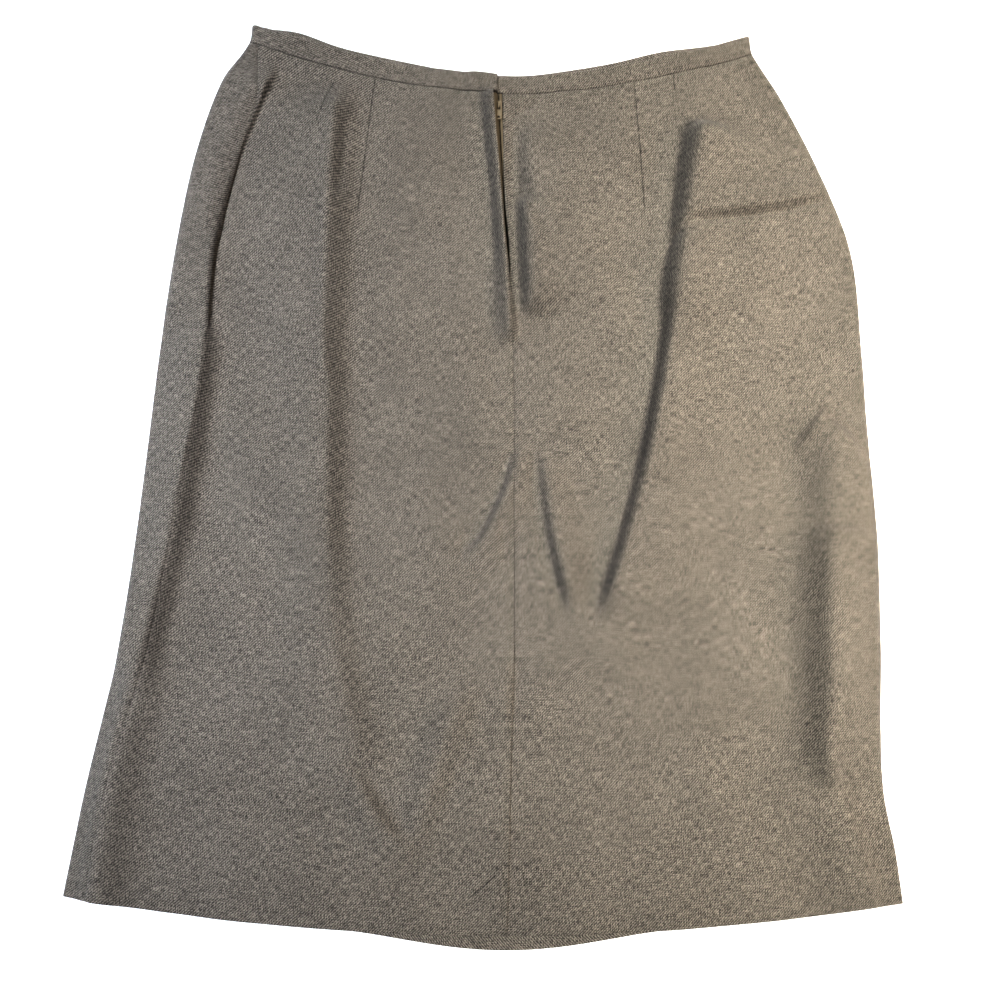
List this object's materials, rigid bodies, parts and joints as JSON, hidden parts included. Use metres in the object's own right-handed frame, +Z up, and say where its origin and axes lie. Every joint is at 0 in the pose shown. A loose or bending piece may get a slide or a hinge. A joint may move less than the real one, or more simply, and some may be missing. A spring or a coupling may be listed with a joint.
{
  "type": "pencil skirt",
  "caption": "Knee-length pencil skirt laid flat on its front, back uppermost, with a narrow waistband, a lapped centre-back zip and a hem vent.",
  "frame": {"origin": "on the surface the skirt lies on, under the middle of its bounding box", "axes": "+X across the skirt towards the side that shows on the right, +Y from hem to waist, +Z up"},
  "size_m": [0.585, 0.7058, 0.023],
  "materials": {
    "wool_twill": "melange taupe twill, matt with a faint nap",
    "zip_tape": "woven polyester tape",
    "zip_metal": "beige enamel, satin"
  },
  "bodies": {
    "skirt": {"front_panel": "wool_twill", "back_left_panel": "wool_twill", "back_right_panel": "wool_twill", "waistband": "wool_twill", "zip_tape": "zip_tape", "zip_slider": "zip_metal"},
    "pull_tab": {"zip_pull_tab": "zip_metal"}
  },
  "joints": [
    {"name": "pull_tab_swing", "type": "hinge", "parent": "skirt", "child": "pull_tab", "pos_m": [0.01105, 0.27928, 0.01173], "axis": [-1, 0, 0], "range_deg": [0, 150]}
  ]
}
